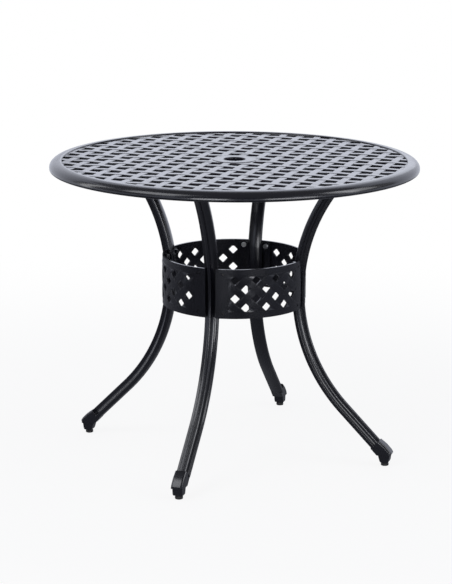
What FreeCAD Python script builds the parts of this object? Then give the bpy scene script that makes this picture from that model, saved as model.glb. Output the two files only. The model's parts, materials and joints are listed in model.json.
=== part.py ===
import FreeCAD, Part
import math
import os
import re

import Sketcher
from FreeCAD import Placement, Rotation, Vector

doc = FreeCAD.newDocument("umbrella_table")
sheet = doc.addObject("Spreadsheet::Sheet", "Sizes")

# Driving sizes in millimetres and degrees: name, value, meaning
SIZES = [
    ("table_height", 700, "floor to the top of the rim"),
    ("top_radius", 425, "outer radius of the round top"),
    ("rim_width", 30, "plan width of the rim outside the lattice"),
    ("rim_depth", 22, "height of the rim's outer side"),
    ("rim_roll", 22, "plan width of the rim's rounded shoulder"),
    ("rim_drop", 16, "height of the rim's rounded shoulder"),
    ("rim_under_round", 4, "rounding of the rim's lower edge"),
    ("skirt_wall", 7, "wall of the rim's hanging skirt"),
    ("lip_step", 2.7, "rim's top above the lattice plate"),
    ("lattice_plate", 7, "thickness of the lattice plate"),
    ("lattice_margin", 1, "plate between the openings and the rim's lip"),
    ("lattice_pitch", 44, "spacing of the lattice openings both ways"),
    ("lattice_opening", 26, "side of a lattice opening"),
    ("opening_corner", 2.5, "corner radius of a lattice opening"),
    ("opening_least", 0.125, "smallest share of an opening that is left open"),
    ("hub_radius", 50, "closed disc round the parasol hole"),
    ("hub_step", 1.2, "hub disc above the lattice plate"),
    ("pole_hole", 50, "diameter of the parasol hole"),
    ("boss_wall", 9, "wall of the boss under the hub"),
    ("boss_depth", 26, "boss below the lattice plate"),
    ("under_rib_width", 8, "radial ribs under the plate"),
    ("under_rib_depth", 10, "radial ribs and leg pads below the plate"),
    ("leg_pad_margin", 2, "leg pad beyond the leg's top plate"),
    ("waist_radius", 158, "leg centre line at its narrowest"),
    ("waist_height", 402, "height of the legs' narrowest place"),
    ("upper_bend", 410, "leg's bend radius above the waist"),
    ("lower_bend", 385, "leg's bend radius below the waist"),
    ("leg_slope", 45, "slope of the leg's straight end, degrees"),
    ("leg_end_height", 50.6, "centre of the leg's lower end above the floor"),
    ("leg_width", 32, "leg across its inner flange"),
    ("leg_depth", 27.5, "leg from inner face to rib"),
    ("leg_core", 11.2, "depth of the leg's inner flange"),
    ("leg_crown", 3, "how far the leg's inner face bulges"),
    ("leg_rib", 6, "width of the leg's outer rib"),
    ("rib_round", 1.5, "rounding of the rib's outer edges"),
    ("rib_root", 9, "hollow rounding at the rib's foot"),
    ("core_round", 1, "rounding of the flange's shoulders"),
    ("top_plate_length", 40, "leg's top plate along the radius"),
    ("top_plate_width", 68, "leg's top plate across the radius"),
    ("top_plate_thick", 6, "thickness of the leg's top plate"),
    ("top_bolt_spacing", 48, "between the two bolts of a top plate"),
    ("shoe_width", 28, "shoe's cap across the leg"),
    ("stem_width", 23.5, "shoe's lower stem across the leg"),
    ("shoe_axis_reach", 22, "glide's axis beyond the leg's end"),
    ("toe_reach", 17.5, "shoe's toe beyond the glide's axis"),
    ("heel_reach", 17, "shoe's heel inside the glide's axis"),
    ("toe_height", 31.5, "height of the shoe's foremost edge"),
    ("toe_bevel", 6.5, "rise of the toe's upper bevel"),
    ("toe_setback", 4, "run of the toe's upper bevel"),
    ("brow_reach", 2.5, "crown of the toe beyond the glide's axis"),
    ("brow_height", 49.5, "height of the toe's crown"),
    ("cap_skirt", 6, "shoe's cap below its foremost edge"),
    ("stem_chamfer", 5, "chamfer round the stem's lower end"),
    ("stem_end_inset", 2, "the same chamfer's width at heel and toe"),
    ("stem_side_inset", 2.5, "the same chamfer's width at the sides"),
    ("stem_heel_taper", 6, "how far the stem narrows at its heel"),
    ("stem_toe_taper", 3, "how far the stem narrows at its toe"),
    ("shoe_round", 5, "rounding of the shoe's cap edges"),
    ("glide_height", 8, "floor to the underside of the shoe"),
    ("glide_diameter", 18, "diameter of the glide"),
    ("glide_neck", 1.6, "narrower neck of the glide"),
    ("glide_chamfer", 1.2, "chamfer of the glide's edges"),
    ("stud_diameter", 8, "diameter of the levelling stud"),
    ("stud_length", 30, "levelling stud above its seat in the glide"),
    ("stud_seat", 3, "bottom of the stud above the floor"),
    ("stud_tip_bevel", 1, "chamfer of the stud's upper end"),
    ("insert_diameter", 12, "outer diameter of the thread insert"),
    ("insert_length", 18, "length of the thread insert"),
    ("stud_clearance", 0.05, "radial clearance of the stud in its insert"),
    ("stud_end_room", 3, "free depth above the stud in the shoe"),
    ("ring_radius", 167, "outer radius of the lattice ring"),
    ("ring_wall", 4, "thickness of the ring's panels"),
    ("ring_low", 361, "height of the ring's lower edge"),
    ("ring_height", 114, "height of the ring"),
    ("ring_lower_band", 16, "plain band below the diamonds"),
    ("ring_upper_band", 16.5, "plain band above the diamonds"),
    ("ring_rib_gap", 9.5, "gap between a panel's end and the leg's rib"),
    ("bead_width", 1.8, "raised line along the bands"),
    ("bead_height", 0.8, "raised line above the panel"),
    ("diamond_side", 15.5, "side of a diamond opening"),
    ("diamond_corner", 1.8, "corner radius of a diamond opening"),
    ("diamond_step", 8.5, "angle between diamond columns, degrees"),
    ("diamond_rise", 21.3, "height between diamond rows"),
    ("diamond_columns", 7, "columns of diamonds in a panel, an odd number"),
    ("bracket_thick", 5, "thickness of the ring brackets"),
    ("bracket_web", 3.5, "thickness of the bracket's web on the leg"),
    ("bracket_reach", 23, "bracket's flange beyond the leg's side"),
    ("bracket_margin", 4, "bracket's ends inside the ring's edges"),
    ("bracket_root", 11, "inner edge of the web inside the flange"),
    ("ring_bolt_angle", 10.2, "ring bolts each side of a leg, degrees"),
    ("ring_bolt_edge", 12, "ring bolts from the ring's edges"),
    ("seat_diameter", 14, "spot face under a washer"),
    ("seat_depth", 0.2, "depth of the spot face"),
    ("bolt_diameter", 6, "diameter of the bolts"),
    ("bolt_head_flats", 10, "hexagon head across its flats"),
    ("bolt_head_height", 4, "height of the hexagon head"),
    ("bolt_tip_recess", 1, "bolt tip below the panel's outer face"),
    ("bolt_tip_bevel", 0.75, "chamfer of a bolt's tip"),
    ("bolt_hole_clearance", 0.3, "radial clearance of a bolt's plain hole"),
    ("bolt_thread_clearance", 0.02, "radial clearance in a tapped hole"),
    ("washer_diameter", 12, "outer diameter of the washers"),
    ("washer_thick", 1.6, "thickness of the washers"),
    ("top_thread_depth", 8, "top bolts' reach into the leg pads"),
    ("tap_room", 1, "tapped hole beyond the bolt's tip"),
]
for row, (alias, value, meaning) in enumerate(SIZES, start=1):
    sheet.set(f"A{row}", alias)
    sheet.set(f"B{row}", str(value))
    sheet.set(f"C{row}", meaning)
    sheet.setAlias(f"B{row}", alias)
doc.recompute()

# Each leg's name and its direction seen from above, in degrees
LEGS = {"right": 0, "back": 90, "left": 180, "front": 270}
AXIS_Z = Vector(0, 0, 1)
AXIS_Y = Vector(0, 1, 0)
# How far a cut starts and ends outside the material
BEYOND = 5
PARTS = []


def size(alias):
    return float(sheet.get(alias))


def polar(radius, angle, height=0):
    """A point at a distance from the table's axis, in a direction in degrees."""
    turn = math.radians(angle)
    return Vector(radius * math.cos(turn), radius * math.sin(turn), height)


def place(obj, label, angle=0, radius=0):
    """Name a finished sub-part, turn it to its leg and set it at its radius."""
    obj.Label = label
    obj.Placement = Placement(polar(radius, angle), Rotation(AXIS_Z, angle))
    PARTS.append(obj)


def feature(label, shape, angle=0):
    """A sub-part whose shape is worked out here from the sheet."""
    obj = doc.addObject("Part::Feature", label)
    obj.Shape = shape
    place(obj, label, angle)


def leg_station(height):
    """Radius of the leg's centre line at a height at or above the waist."""
    bend = size("upper_bend")
    rise = height - size("waist_height")
    return size("waist_radius") + bend - math.sqrt(bend ** 2 - rise ** 2)


def leg_end_radius():
    """Radius at which the leg's straight lower stretch ends."""
    bend = size("lower_bend")
    slope = math.radians(size("leg_slope"))
    radius = size("waist_radius") + bend * (1 - math.cos(slope))
    height = size("waist_height") - bend * math.sin(slope)
    return radius + (height - size("leg_end_height")) * math.tan(slope)


def foot_radius():
    return leg_end_radius() + size("shoe_axis_reach")


def plate_top():
    return size("table_height") - size("lip_step")


def plate_bottom():
    return plate_top() - size("lattice_plate")


def pad_bottom():
    return plate_bottom() - size("under_rib_depth")


def leg_top():
    return pad_bottom() - size("top_plate_thick")


def box(low, high):
    return Part.makeBox(high.x - low.x, high.y - low.y, high.z - low.z, low)


def new_body(name):
    return doc.addObject("PartDesign::Body", name)


def new_sketch(body, role, name):
    """A sketch on one of the body's own origin planes."""
    sketch = body.newObject("Sketcher::SketchObject", name)
    plane = next(f for f in body.Origin.OriginFeatures if f.Role == role)
    sketch.AttachmentSupport = (plane, "")
    sketch.MapMode = "FlatFace"
    return sketch


def in_sheet(text):
    """The expression with every size name read from the sheet."""
    names = {alias for alias, _, _ in SIZES}
    return re.sub(r"[a-z_]+", lambda m: ("Sizes." if m.group() in names else "") + m.group(), text)


def fix(sketch, kind, target, expression):
    """A distance from the origin to a point, bound to an expression."""
    value = float(sheet.evalExpression(expression))
    if abs(value) < 1e-9:
        axis = -2 if kind == "DistanceX" else -1
        sketch.addConstraint(Sketcher.Constraint("PointOnObject", *target, axis))
        return
    index = sketch.addConstraint(Sketcher.Constraint(kind, -1, 1, *target, value))
    sketch.setExpression(f"Constraints[{index}]", in_sheet(expression))


def outline(sketch, corners):
    """A closed polygon; each corner is a pair of expressions on the sheet."""
    points = [Vector(*(float(sheet.evalExpression(text)) for text in pair), 0) for pair in corners]
    first = sketch.GeometryCount
    for start, end in zip(points, points[1:] + points[:1]):
        sketch.addGeometry(Part.LineSegment(start, end), False)
    for index, (x, y) in enumerate(corners):
        following = first + (index + 1) % len(corners)
        joint = Sketcher.Constraint("Coincident", first + index, 2, following, 1)
        sketch.addConstraint(joint)
        fix(sketch, "DistanceX", (first + index, 1), x)
        fix(sketch, "DistanceY", (first + index, 1), y)


def circle(sketch, radius, centre=("0", "0")):
    """A circle whose radius and centre are expressions on the sheet."""
    middle = Vector(*(float(sheet.evalExpression(text)) for text in centre), 0)
    geometry = Part.Circle(middle, AXIS_Z, float(sheet.evalExpression(radius)))
    number = sketch.addGeometry(geometry, False)
    fix(sketch, "DistanceX", (number, 3), centre[0])
    fix(sketch, "DistanceY", (number, 3), centre[1])
    index = sketch.addConstraint(Sketcher.Constraint("Radius", number, geometry.Radius))
    sketch.setExpression(f"Constraints[{index}]", in_sheet(radius))


def extrusion(body, kind, sketch, length, name, midplane=False, reversed_way=False):
    """A Pad or a Pocket of a sketch, its length an expression."""
    made = body.newObject("PartDesign::" + kind, name)
    made.Profile = sketch
    made.Midplane = midplane
    made.Reversed = reversed_way
    made.setExpression("Length", in_sheet(length))
    return made


def revolution(body, sketch, name):
    """A Revolution of a sketch about its own vertical axis."""
    made = body.newObject("PartDesign::Revolution", name)
    made.Profile = sketch
    made.ReferenceAxis = (sketch, ["V_Axis"])
    made.Angle = 360
    return made


def bolt(name, length):
    """A hexagon bolt that points along +Z, seated at the origin."""
    body = new_body(name)
    flat, half = "bolt_head_flats / 2", "bolt_head_flats / sqrt(3) / 2"
    head = new_sketch(body, "XY_Plane", name + "_hexagon")
    signs = [("2 *", "0 *"), ("", ""), ("-", ""), ("-2 *", "0 *"), ("-", "-"), ("", "-")]
    outline(head, [(f"{x} {half}", f"{y} {flat}") for x, y in signs])
    extrusion(body, "Pad", head, "bolt_head_height", name + "_head", reversed_way=True)
    shank = new_sketch(body, "XZ_Plane", name + "_profile")
    radius, bevel = "bolt_diameter / 2", "bolt_tip_bevel"
    outline(shank, [("0", "0"), (radius, "0"), (radius, f"{length} - {bevel}"),
                    (f"{radius} - {bevel}", length), ("0", length)])
    revolution(body, shank, name + "_shank")
    return body


def washer():
    """A flat washer whose outer face is seated at the origin, below it."""
    body = new_body("washer_pattern")
    sketch = new_sketch(body, "XY_Plane", "washer_rings")
    circle(sketch, "washer_diameter / 2")
    circle(sketch, "bolt_diameter / 2 + bolt_hole_clearance")
    extrusion(body, "Pad", sketch, "washer_thick", "washer_disc", reversed_way=True)
    return body


def leg_top_plate(leg, angle):
    body = new_body("leg_top_plate_" + leg)
    sketch = new_sketch(body, "XY_Plane", "top_plate_outline_" + leg)
    x, y = "top_plate_length / 2", "top_plate_width / 2"
    outline(sketch, [("-" + x, "-" + y), (x, "-" + y), (x, y), ("-" + x, y)])
    for side in ("", "-"):
        hole = "bolt_diameter / 2 + bolt_hole_clearance"
        circle(sketch, hole, ("0", f"{side}top_bolt_spacing / 2"))
    extrusion(body, "Pad", sketch, "top_plate_thick", "top_plate_slab_" + leg)
    place(body, body.Name, angle, leg_station(leg_top()))
    body.Placement.Base.z = leg_top()


def shoe(leg, angle):
    """The cast foot, drawn about the axis of its glide."""
    body = new_body("shoe_" + leg)
    end, middle, bottom = "shoe_axis_reach", "leg_end_height", "toe_height - cap_skirt"
    across, up = "cos(leg_slope)", "sin(leg_slope)"
    half_leg = "leg_depth / 2"
    toe = "toe_reach - cap_skirt / 2"
    cap = new_sketch(body, "XZ_Plane", "cap_side_" + leg)
    outline(cap, [
        (f"-{end} - {half_leg} * {across}", f"{middle} - {half_leg} * {up}"),
        ("-heel_reach", bottom),
        (toe, bottom),
        ("toe_reach", "toe_height"),
        ("toe_reach - toe_setback", "toe_height + toe_bevel"),
        ("brow_reach", "brow_height"),
        (f"-{end} + {half_leg} * {across}", f"{middle} + {half_leg} * {up}"),
    ])
    extrusion(body, "Pad", cap, "shoe_width", "cap_" + leg, midplane=True)
    doc.recompute()
    half = size("shoe_width") / 2
    sides = [
        f"Edge{number}" for number, edge in enumerate(body.Shape.Edges, start=1)
        if all(abs(abs(v.Point.y) - half) < 1e-6 for v in edge.Vertexes)
        and all(v.Point.z > size("toe_height") - 1e-6 for v in edge.Vertexes)
        and all(v.Point.x > -size("shoe_axis_reach") for v in edge.Vertexes)
    ]
    block = body.Tip
    rounding = body.newObject("PartDesign::Fillet", "cap_edges_" + leg)
    rounding.Base = (block, sides)
    rounding.setExpression("Radius", "Sizes.shoe_round")
    stem = new_sketch(body, "XZ_Plane", "stem_side_" + leg)
    outline(stem, [
        ("-heel_reach", "toe_height"),
        ("-heel_reach + stem_heel_taper", "glide_height + stem_chamfer"),
        ("-heel_reach + stem_heel_taper + stem_end_inset", "glide_height"),
        (f"{toe} - stem_toe_taper - stem_end_inset", "glide_height"),
        (f"{toe} - stem_toe_taper", "glide_height + stem_chamfer"),
        (toe, "toe_height"),
    ])
    extrusion(body, "Pad", stem, "stem_width", "stem_" + leg, midplane=True)
    corner = new_sketch(body, "YZ_Plane", "stem_corners_" + leg)
    low, high = "glide_height", "glide_height + stem_chamfer"
    for side in ("", "-"):
        outline(corner, [
            (f"{side}stem_width / 2", high), (f"{side}stem_width / 2", low),
            (f"{side}(stem_width / 2 - stem_side_inset)", low),
        ])
    extrusion(body, "Pocket", corner, "toe_reach * 4", "corners_" + leg, midplane=True)
    for name, radius, depth in (
        ("insert_hole_", "insert_diameter / 2", "glide_height + insert_length"),
        ("stud_hole_", "stud_diameter / 2 + bolt_hole_clearance",
         "stud_seat + stud_length + stud_end_room"),
    ):
        hole = new_sketch(body, "XY_Plane", name + leg)
        circle(hole, radius)
        extrusion(body, "Pocket", hole, depth, name + "cut_" + leg, reversed_way=True)
    place(body, body.Name, angle, foot_radius())


def thread_insert(leg, angle):
    body = new_body("thread_insert_" + leg)
    sketch = new_sketch(body, "XZ_Plane", "insert_profile_" + leg)
    bore, outer = "stud_diameter / 2 + stud_clearance", "insert_diameter / 2"
    low, high = "glide_height", "glide_height + insert_length"
    outline(sketch, [(bore, low), (outer, low), (outer, high), (bore, high)])
    revolution(body, sketch, "insert_" + leg)
    place(body, body.Name, angle, foot_radius())


def levelling_stud(leg, angle):
    body = new_body("levelling_stud_" + leg)
    sketch = new_sketch(body, "XZ_Plane", "stud_profile_" + leg)
    radius, bevel, top = "stud_diameter / 2", "stud_tip_bevel", "stud_seat + stud_length"
    outline(sketch, [
        ("0", "stud_seat"), (radius, "stud_seat"), (radius, f"{top} - {bevel}"),
        (f"{radius} - {bevel}", top), ("0", top),
    ])
    revolution(body, sketch, "stud_" + leg)
    place(body, body.Name, angle, foot_radius())


def glide_pad(leg, angle):
    body = new_body("glide_pad_" + leg)
    sketch = new_sketch(body, "XZ_Plane", "glide_profile_" + leg)
    outer, bevel = "glide_diameter / 2", "glide_chamfer"
    shoulder = "glide_height - glide_neck"
    outline(sketch, [
        ("0", "0"), (f"{outer} - {bevel}", "0"), (outer, bevel),
        (outer, f"{shoulder} - {bevel}"), (f"{outer} - {bevel}", shoulder),
        (f"{outer} - glide_neck", shoulder), (f"{outer} - glide_neck", "glide_height"),
        ("stud_diameter / 2", "glide_height"), ("stud_diameter / 2", "stud_seat"),
        ("0", "stud_seat"),
    ])
    revolution(body, sketch, "glide_" + leg)
    place(body, body.Name, angle, foot_radius())


def leg_section():
    """The leg cut level at its waist: a crowned flange and an outer rib."""
    base, top = -size("leg_depth") / 2, size("leg_depth") / 2
    core, rib = size("leg_width") / 2, size("leg_rib") / 2
    step, crown = base + size("leg_core"), base + size("leg_crown")
    soft, edge, root = size("core_round"), size("rib_round"), size("rib_root")

    def point(out, across):
        return Vector(size("waist_radius") + out, across, size("waist_height"))

    def corner(start, end, radius, middle):
        """A rounded corner by its two ends and its centre."""
        mid = (start + end) * 0.5 - middle
        return Part.Arc(start, middle + mid * (radius / mid.Length), end)

    half = [
        Part.LineSegment(point(crown, core), point(step - soft, core)),
        corner(point(step - soft, core), point(step, core - soft), soft,
               point(step - soft, core - soft)),
        Part.LineSegment(point(step, core - soft), point(step, rib + root)),
        corner(point(step, rib + root), point(step + root, rib), root,
               point(step + root, rib + root)),
        Part.LineSegment(point(step + root, rib), point(top - edge, rib)),
        corner(point(top - edge, rib), point(top, rib - edge), edge,
               point(top - edge, rib - edge)),
    ]
    near = [curve.toShape() for curve in half]
    far = [edge.mirror(Vector(0, 0, 0), AXIS_Y) for edge in near]
    inner = Part.Arc(point(crown, core), point(base, 0), point(crown, -core))
    face = Part.LineSegment(point(top, rib - edge), point(top, edge - rib))
    edges = near + far + [inner.toShape(), face.toShape()]
    return Part.Face(Part.Wire(Part.__sortEdges__(edges)))


def leg():
    """Two arcs and a straight end, cut level under the top plate."""
    waist, height = size("waist_radius"), size("waist_height")
    upper, lower, slope = size("upper_bend"), size("lower_bend"), size("leg_slope")
    section = leg_section()
    rise = (leg_top() - height) / (upper - size("leg_depth") / 2)
    sweep = math.degrees(math.asin(rise)) + BEYOND
    high = section.revolve(Vector(waist + upper, 0, height), AXIS_Y, sweep)
    low = section.revolve(Vector(waist + lower, 0, height), AXIS_Y, -slope)
    end = section.rotated(Vector(waist + lower, 0, height), AXIS_Y, -slope)
    down = Vector(math.sin(math.radians(slope)), 0, -math.cos(math.radians(slope)))
    drop = height - lower * math.sin(math.radians(slope)) - size("leg_end_height")
    straight = end.extrude(down * (drop / math.cos(math.radians(slope))))
    room = size("top_radius")
    above = box(Vector(0, -room, leg_top()), Vector(2 * room, room, leg_top() + room))
    return high.cut(above).fuse([low, straight]).removeSplitter()


def rounded_square(side, corner):
    """A face in the XY plane, centred on the origin."""
    half, flat = side / 2, side / 2 - corner
    bulge = flat + corner * math.sqrt(0.5)
    edges = []
    for turn in range(4):
        start, end = Vector(half, -flat, 0), Vector(half, flat, 0)
        arc = Part.Arc(end, Vector(bulge, bulge, 0), Vector(flat, half, 0)).toShape()
        for edge in (Part.LineSegment(start, end).toShape(), arc):
            edges.append(edge.rotated(Vector(0, 0, 0), AXIS_Z, 90 * turn))
    return Part.Face(Part.Wire(edges))


def lattice_openings():
    """Prisms through a quarter of the plate; straps cross at the centre."""
    pitch, side = size("lattice_pitch"), size("lattice_opening")
    reach = size("top_radius") - size("rim_width")
    disc = Part.Face(Part.Wire(Part.makeCircle(reach)))
    opening = rounded_square(side, size("opening_corner"))
    count = int(reach / pitch) + 1
    low = plate_bottom() - BEYOND
    prisms = []
    for column in range(count):
        for row in range(count):
            x, y = (column + 0.5) * pitch, (row + 0.5) * pitch
            near = math.hypot(x - side / 2, y - side / 2)
            if near < size("hub_radius") + size("hub_step") or near > reach:
                continue
            face = opening.translated(Vector(x, y, 0))
            if math.hypot(x + side / 2, y + side / 2) > reach:
                face = face.common(disc)
            if face.Area > opening.Area * size("opening_least"):
                prism = face.extrude(Vector(0, 0, size("lattice_plate") + 2 * BEYOND))
                prisms.append(prism.translated(Vector(0, 0, low)))
    return prisms


def top_profile():
    """Half of the casting's section, from the parasol hole to the rim."""
    edge, high = size("top_radius"), size("table_height")
    under, over = plate_bottom(), plate_top()
    low = high - size("rim_depth")
    soft, roll, drop = size("rim_under_round"), size("rim_roll"), size("rim_drop")
    lip, hub = size("lip_step"), size("hub_radius")
    lattice = edge - size("rim_width") + size("lattice_margin")
    bore, boss = size("pole_hole") / 2, size("pole_hole") / 2 + size("boss_wall")
    skirt, step = edge - size("skirt_wall"), size("hub_step")
    base, mouth = under - size("boss_depth"), over + step
    half = math.sqrt(0.5)

    def point(radius, height):
        return Vector(radius, 0, height)

    def lines(*corners):
        return [Part.LineSegment(a, b).toShape() for a, b in zip(corners, corners[1:])]

    def arc(start, middle, end):
        return [Part.Arc(start, middle, end).toShape()]

    lower_end, side_low = point(edge - soft, low), point(edge, low + soft)
    side_high, crest = point(edge, high - drop), point(edge - roll, high)
    lip_top, lip_foot = point(lattice + lip, high), point(lattice, over)
    lower_turn = point(edge - soft + soft * half, low + soft - soft * half)
    lip_turn = point(lattice + lip - lip * half, over + lip * half)
    edges = lines(
        point(bore + step, mouth), point(bore, over), point(bore, base), point(boss, base),
        point(boss, under), point(skirt, under), point(skirt, low), lower_end,
    )
    edges += arc(lower_end, lower_turn, side_low) + lines(side_low, side_high)
    shoulder = Part.BezierCurve()
    shoulder.setPoles([side_high, point(edge, high - drop / 2), point(edge - roll / 2, high), crest])
    edges += [shoulder.toShape()] + lines(crest, lip_top)
    edges += arc(lip_top, lip_turn, lip_foot)
    edges += lines(lip_foot, point(hub + step, over), point(hub, mouth),
                   point(bore + step, mouth))
    return Part.Face(Part.Wire(edges))


def table_top():
    """Four like quarters of the casting, with ribs and tapped leg pads."""
    margin = size("leg_pad_margin")
    length = size("top_plate_length") / 2 + margin
    width = size("top_plate_width") / 2 + margin
    rib = size("under_rib_width") / 2
    start = size("pole_hole") / 2 + size("boss_wall") / 2
    end = size("top_radius") - size("skirt_wall") / 2
    centre = leg_station(leg_top())
    thread = size("bolt_diameter") / 2 + size("bolt_thread_clearance")
    depth = size("top_thread_depth") + size("tap_room")
    quarter = top_profile().revolve(Vector(0, 0, 0), AXIS_Z, 90).cut(lattice_openings())
    quarters, added, taps = [], [], []
    for angle in LEGS.values():
        pad = box(Vector(centre - length, -width, pad_bottom()),
                  Vector(centre + length, width, plate_bottom()))
        spoke = box(Vector(start, -rib, pad_bottom()), Vector(end, rib, plate_bottom()))
        quarters.append(quarter.rotated(Vector(0, 0, 0), AXIS_Z, angle))
        added += [shape.rotated(Vector(0, 0, 0), AXIS_Z, angle) for shape in (pad, spoke)]
        for side in (-1, 1):
            mouth = Vector(centre, side * size("top_bolt_spacing") / 2, pad_bottom())
            hole = Part.makeCylinder(thread, depth, mouth)
            taps.append(hole.rotated(Vector(0, 0, 0), AXIS_Z, angle))
    under = added[0].fuse(added[1:]).cut(taps)
    return quarters[0].fuse(quarters[1:] + [under])


def ring_bolt_places(angle):
    """Directions and heights of the four ring bolts beside a leg."""
    low = size("ring_low") + size("ring_bolt_edge")
    high = size("ring_low") + size("ring_height") - size("ring_bolt_edge")
    turn = size("ring_bolt_angle")
    return [(angle + side * turn, height) for side in (-1, 1) for height in (low, high)]


def radial_cylinder(radius, start, end, angle, height):
    """A round bar that points away from the table's axis."""
    return Part.makeCylinder(radius, end - start, polar(start, angle, height), polar(1, angle))


def shell(inner, outer, low, high):
    """An upright tube about the table's axis."""
    tube = Part.makeCylinder(outer, high - low, Vector(0, 0, low))
    return tube.cut(Part.makeCylinder(inner, high - low, Vector(0, 0, low)))


def wedge(first, last, low, high):
    """The space between two directions, for cutting a tube to length."""
    reach = size("ring_radius") * 2
    corners = [Vector(0, 0, low), polar(reach, first, low), polar(reach, last, low), Vector(0, 0, low)]
    return Part.Face(Part.makePolygon(corners)).extrude(Vector(0, 0, high - low))


def ring_panel():
    """A curved lattice panel from the right leg to the back leg."""
    outer, inner = size("ring_radius"), size("ring_radius") - size("ring_wall")
    low, high = size("ring_low"), size("ring_low") + size("ring_height")
    field_low, field_high = low + size("ring_lower_band"), high - size("ring_upper_band")
    side = size("leg_rib") / 2 + size("ring_rib_gap")
    margin = math.degrees(math.asin(side / outer))
    panel = shell(inner, outer, low, high)
    bead = size("bead_width")
    beads = [shell(outer - 1, outer + size("bead_height"), level, level + bead)
             for level in (field_low - bead, field_high)]
    panel = panel.fuse(beads).common(wedge(margin, 90 - margin, low, high))
    opening = rounded_square(size("diamond_side"), size("diamond_corner"))
    opening = opening.rotated(Vector(0, 0, 0), AXIS_Z, 45).rotated(Vector(0, 0, 0), AXIS_Y, 90)
    middle = (field_low + field_high) / 2
    cuts = []
    side_columns = int(size("diamond_columns")) // 2
    for column in range(-side_columns, side_columns + 1):
        for row in (-1.5, 0.5) if column % 2 else (-0.5, 1.5):
            height = middle - row * size("diamond_rise")
            face = opening.translated(Vector(inner - BEYOND, 0, height))
            hole = face.extrude(Vector(size("ring_wall") + 2 * BEYOND, 0, 0))
            turn = 45 + column * size("diamond_step")
            cuts.append(hole.rotated(Vector(0, 0, 0), AXIS_Z, turn))
    field = box(Vector(0, 0, field_low), Vector(2 * outer, 2 * outer, field_high))
    holes = [hole.common(field) for hole in cuts]
    thread = size("bolt_diameter") / 2 + size("bolt_thread_clearance")
    for turn, height in ring_bolt_places(0) + ring_bolt_places(90):
        if 0 < turn < 90:
            holes.append(radial_cylinder(thread, inner - BEYOND, outer + BEYOND, turn, height))
    return panel.cut(holes)


def ring_bracket(side):
    """An angle piece: a web welded on the leg and a flange under a panel."""
    outer = size("ring_radius") - size("ring_wall")
    inner = outer - size("bracket_thick")
    low = size("ring_low") + size("bracket_margin")
    high = size("ring_low") + size("ring_height") - size("bracket_margin")
    start = size("leg_width") / 2
    reach = start + size("bracket_reach")
    web = box(Vector(outer - size("bracket_root") - size("bracket_web"), start, low),
              Vector(outer + 1, start + size("bracket_web"), high))
    flange = shell(inner, outer + 2, low, high).common(
        box(Vector(0, start, low), Vector(outer + 1, reach, high)))
    whole = web.fuse(flange).common(Part.makeCylinder(outer, high - low, Vector(0, 0, low)))
    seat = inner + size("seat_depth")
    cuts = []
    for turn, height in ring_bolt_places(0):
        if turn > 0:
            hole = size("bolt_diameter") / 2 + size("bolt_hole_clearance")
            cuts.append(radial_cylinder(hole, inner - BEYOND, outer + BEYOND, turn, height))
            spot = size("seat_diameter") / 2
            cuts.append(radial_cylinder(spot, seat - BEYOND, seat, turn, height))
    bracket = whole.cut(cuts).removeSplitter()
    return bracket if side > 0 else bracket.mirror(Vector(0, 0, 0), AXIS_Y)


def group(label, pattern, placements):
    """Several placed copies of one fastener in a node."""
    copies = []
    for placement in placements:
        copy = pattern.Shape.copy()
        copy.Placement = placement
        copies.append(copy)
    feature(label, Part.makeCompound(copies))


def outward(radius, angle, height):
    """The placement that points a fastener away from the table's axis."""
    return Placement(polar(radius, angle, height), Rotation(AXIS_Z, polar(1, angle)))


def fasteners(leg, angle, patterns):
    ring_bolt, top_bolt, ring_washer = patterns
    seat = size("ring_radius") - size("ring_wall") - size("bracket_thick") + size("seat_depth")
    places = ring_bolt_places(angle)
    head = seat - size("washer_thick")
    group("ring_bolts_" + leg, ring_bolt, [outward(head, *spot) for spot in places])
    group("ring_washers_" + leg, ring_washer, [outward(seat, *spot) for spot in places])
    centre, turn = leg_station(leg_top()), Rotation(AXIS_Z, angle)
    half = size("top_bolt_spacing") / 2
    spots = [turn.multVec(Vector(centre, side * half, leg_top())) for side in (-1, 1)]
    below = Vector(0, 0, size("washer_thick"))
    group("top_bolts_" + leg, top_bolt, [Placement(spot - below, turn) for spot in spots])
    group("top_washers_" + leg, ring_washer, [Placement(spot, turn) for spot in spots])


def build():
    feature("table_top", table_top())
    ring_length = ("ring_wall + bracket_thick - seat_depth + washer_thick"
                   " - bolt_tip_recess")
    top_length = "washer_thick + top_plate_thick + top_thread_depth"
    patterns = bolt("ring_bolt", ring_length), bolt("top_bolt", top_length), washer()
    doc.recompute()
    names = list(LEGS)
    leg_shape, panel, brackets = leg(), ring_panel(), [ring_bracket(-1), ring_bracket(1)]
    for index, (name, angle) in enumerate(LEGS.items()):
        feature("leg_" + name, leg_shape, angle)
        for number, bracket in enumerate(brackets, start=1):
            feature(f"ring_bracket_{name}_{number}", bracket, angle)
        following = names[(index + 1) % len(names)]
        feature(f"ring_panel_{name}_{following}", panel, angle)
        for make in (leg_top_plate, shoe, thread_insert, levelling_stud, glide_pad):
            make(name, angle)
        fasteners(name, angle, patterns)


def check_and_write():
    doc.recompute()
    for obj in doc.Objects:
        if {"Invalid", "Error"} & set(obj.State):
            raise RuntimeError(f"{obj.Label} failed: {obj.State}")
    os.makedirs("parts", exist_ok=True)
    for obj in PARTS:
        shape = obj.Shape
        if shape.isNull() or not shape.isValid() or not shape.Solids:
            raise RuntimeError(f"{obj.Label} has no valid shape")
        shape.exportStep(f"parts/{obj.Label}.step")
    print(len(PARTS), "sub-parts written")


build()
check_and_write()
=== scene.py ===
import json
import math

import bmesh
import bpy
from bpy.props import FloatProperty, FloatVectorProperty, PointerProperty
from mathutils import Matrix, Vector

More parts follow.
